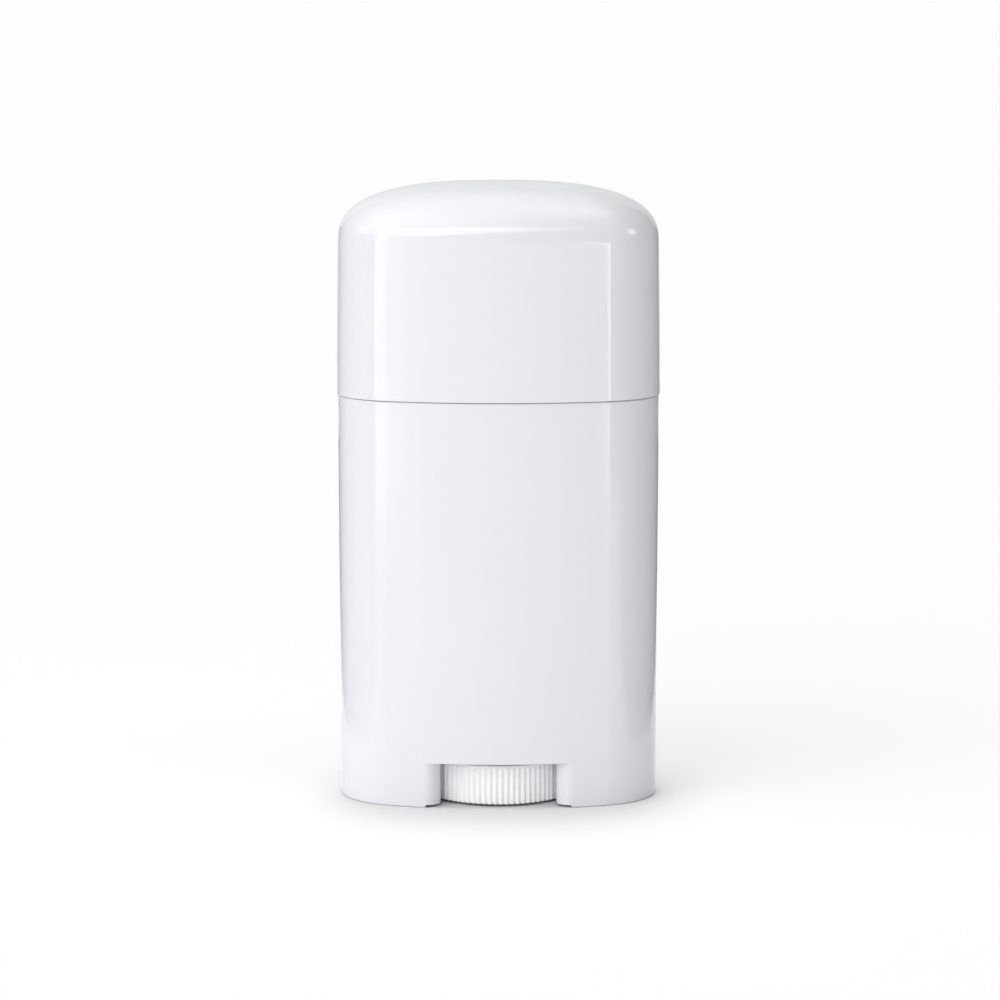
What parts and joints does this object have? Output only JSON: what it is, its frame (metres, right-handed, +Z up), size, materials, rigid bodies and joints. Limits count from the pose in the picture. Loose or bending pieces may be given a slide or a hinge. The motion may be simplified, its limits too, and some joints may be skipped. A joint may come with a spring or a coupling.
{
  "type": "deodorant stick",
  "caption": "Oval twist-up deodorant stick: a barrel with a thumb wheel and feed screw in its base, the stick on an elevator, a seal cover and a domed cap.",
  "frame": {"origin": "on the floor, at the centre of the base", "axes": "+Z up along the feed screw, +X along the oval's width, -Y out of the front with its thumb window"},
  "size_m": [0.062, 0.0334, 0.1185],
  "materials": {
    "barrel_plastic": "satin-gloss white moulded polypropylene",
    "cap_plastic": "glossy white moulded polypropylene",
    "wheel_plastic": "satin white moulded polypropylene",
    "inner_plastic": "natural moulded polypropylene",
    "cover_plastic": "thin white moulded polyethylene",
    "stick": "smooth off-white wax"
  },
  "bodies": {
    "barrel": {"barrel": "barrel_plastic"},
    "thumb_wheel": {"thumb_wheel": "wheel_plastic", "feed_screw": "inner_plastic"},
    "carriage": {"elevator": "inner_plastic", "deodorant_stick": "stick"},
    "inner_cover": {"inner_cover": "cover_plastic"},
    "cap": {"cap": "cap_plastic"}
  },
  "joints": [
    {"name": "wheel_turn", "type": "hinge", "parent": "barrel", "child": "thumb_wheel", "pos_m": [0, 0, 0], "axis": [0, 0, -1], "range_deg": [0, 5400]},
    {"name": "carriage_lift", "type": "slide", "parent": "barrel", "child": "carriage", "axis": [0, 0, 1], "range_m": [0, 0.075]},
    {"name": "inner_cover_lift", "type": "slide", "parent": "carriage", "child": "inner_cover", "axis": [0, 0, 1], "range_m": [0, 0.022]},
    {"name": "cap_lift", "type": "slide", "parent": "inner_cover", "child": "cap", "axis": [0, 0, 1], "range_m": [0, 0.045]}
  ],
  "couplings": [
    {"joint": "wheel_turn", "follows": "carriage_lift", "rad_per_m": 1256.6}
  ]
}
